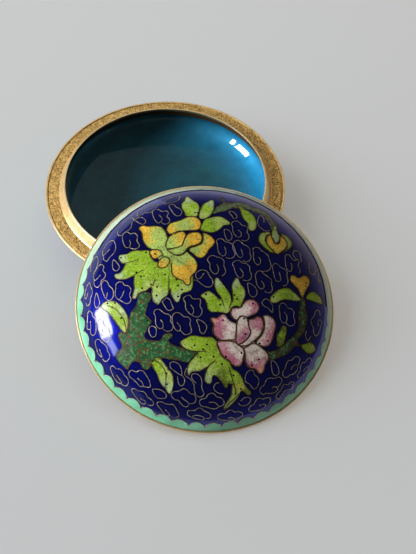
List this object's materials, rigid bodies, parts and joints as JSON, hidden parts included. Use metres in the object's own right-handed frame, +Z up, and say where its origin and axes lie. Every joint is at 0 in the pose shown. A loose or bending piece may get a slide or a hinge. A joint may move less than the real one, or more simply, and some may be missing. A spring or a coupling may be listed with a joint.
{
  "type": "cloisonne enamel box",
  "caption": "Small round cloisonne trinket box on a foot ring, its domed lid lifted off and leaning on the brass neck.",
  "frame": {"origin": "middle of the bounding box at table level, under the base and the leaning lid", "axes": "+Z up; the lid leans on the base's neck and slopes down towards -Y, which is the long way of the pair"},
  "size_m": [0.0896, 0.1176, 0.0275],
  "materials": {
    "brass": "aged brass, speckled matt on the flange, worn bright on the neck and edges",
    "copper": "gilt copper, worn, dull in the corners",
    "cobalt_enamel": "opaque polished cobalt glass enamel with brass wires, coloured flowers and fine pits",
    "turquoise_enamel": "opaque polished turquoise glass enamel, plain"
  },
  "bodies": {
    "root": {"base_bowl": "copper", "base_rim": "brass", "base_enamel_inside": "turquoise_enamel", "base_enamel_wall": "cobalt_enamel", "base_enamel_underside": "turquoise_enamel", "lid_dome": "copper", "lid_rim": "brass", "lid_enamel_outside": "cobalt_enamel", "lid_enamel_inside": "turquoise_enamel"}
  },
  "joints": []
}
